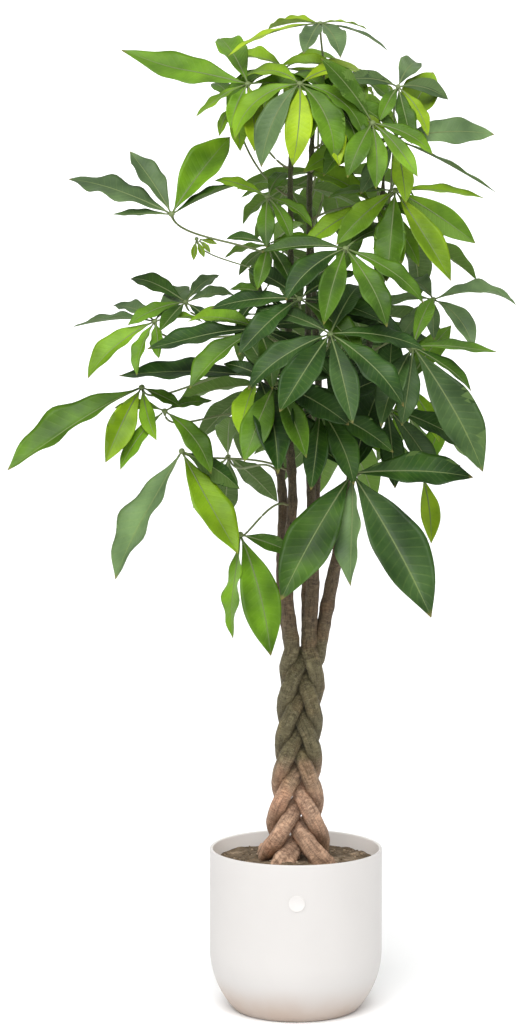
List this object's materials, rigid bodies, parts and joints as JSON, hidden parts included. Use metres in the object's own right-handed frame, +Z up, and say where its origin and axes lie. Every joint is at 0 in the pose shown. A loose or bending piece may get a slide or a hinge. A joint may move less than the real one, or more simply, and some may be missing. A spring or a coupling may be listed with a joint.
{
  "type": "potted money tree",
  "caption": "House plant with braided trunks and hand-shaped compound leaves, standing in a round-bottomed planter filled with soil.",
  "frame": {"origin": "centre of the planter's flat base", "axes": "+Z up along the planter's axis, -Y the front, +X to the right seen from the front"},
  "size_m": [0.67, 0.5726, 1.2836],
  "materials": {
    "pot": "matte",
    "soil": "matte",
    "bark": "matte",
    "leaf": "satin"
  },
  "bodies": {
    "root": {"pot": "pot", "soil": "soil", "trunk_1": "bark", "trunk_2": "bark", "trunk_3": "bark", "trunk_4": "bark", "trunk_5": "bark", "leaf_01": "leaf", "leaf_02": "leaf", "leaf_03": "leaf", "leaf_04": "leaf", "leaf_05": "leaf", "leaf_06": "leaf", "leaf_07": "leaf", "leaf_08": "leaf", "leaf_09": "leaf", "leaf_10": "leaf", "leaf_11": "leaf", "leaf_12": "leaf", "leaf_13": "leaf", "leaf_14": "leaf", "leaf_15": "leaf", "leaf_16": "leaf", "leaf_17": "leaf", "leaf_18": "leaf", "leaf_19": "leaf", "leaf_20": "leaf", "leaf_21": "leaf", "leaf_22": "leaf", "leaf_23": "leaf", "leaf_24": "leaf", "leaf_25": "leaf", "leaf_26": "leaf", "leaf_27": "leaf", "leaf_28": "leaf", "leaf_29": "leaf", "leaf_30": "leaf", "leaf_31": "leaf", "leaf_32": "leaf", "leaf_33": "leaf", "leaf_34": "leaf", "leaf_35": "leaf", "leaf_36": "leaf", "leaf_37": "leaf", "leaf_38": "leaf", "leaf_39": "leaf", "leaf_40": "leaf", "leaf_41": "leaf", "leaf_42": "leaf", "leaf_43": "leaf", "leaf_44": "leaf", "leaf_45": "leaf", "leaf_46": "leaf", "leaf_47": "leaf", "leaf_48": "leaf"}
  },
  "joints": []
}
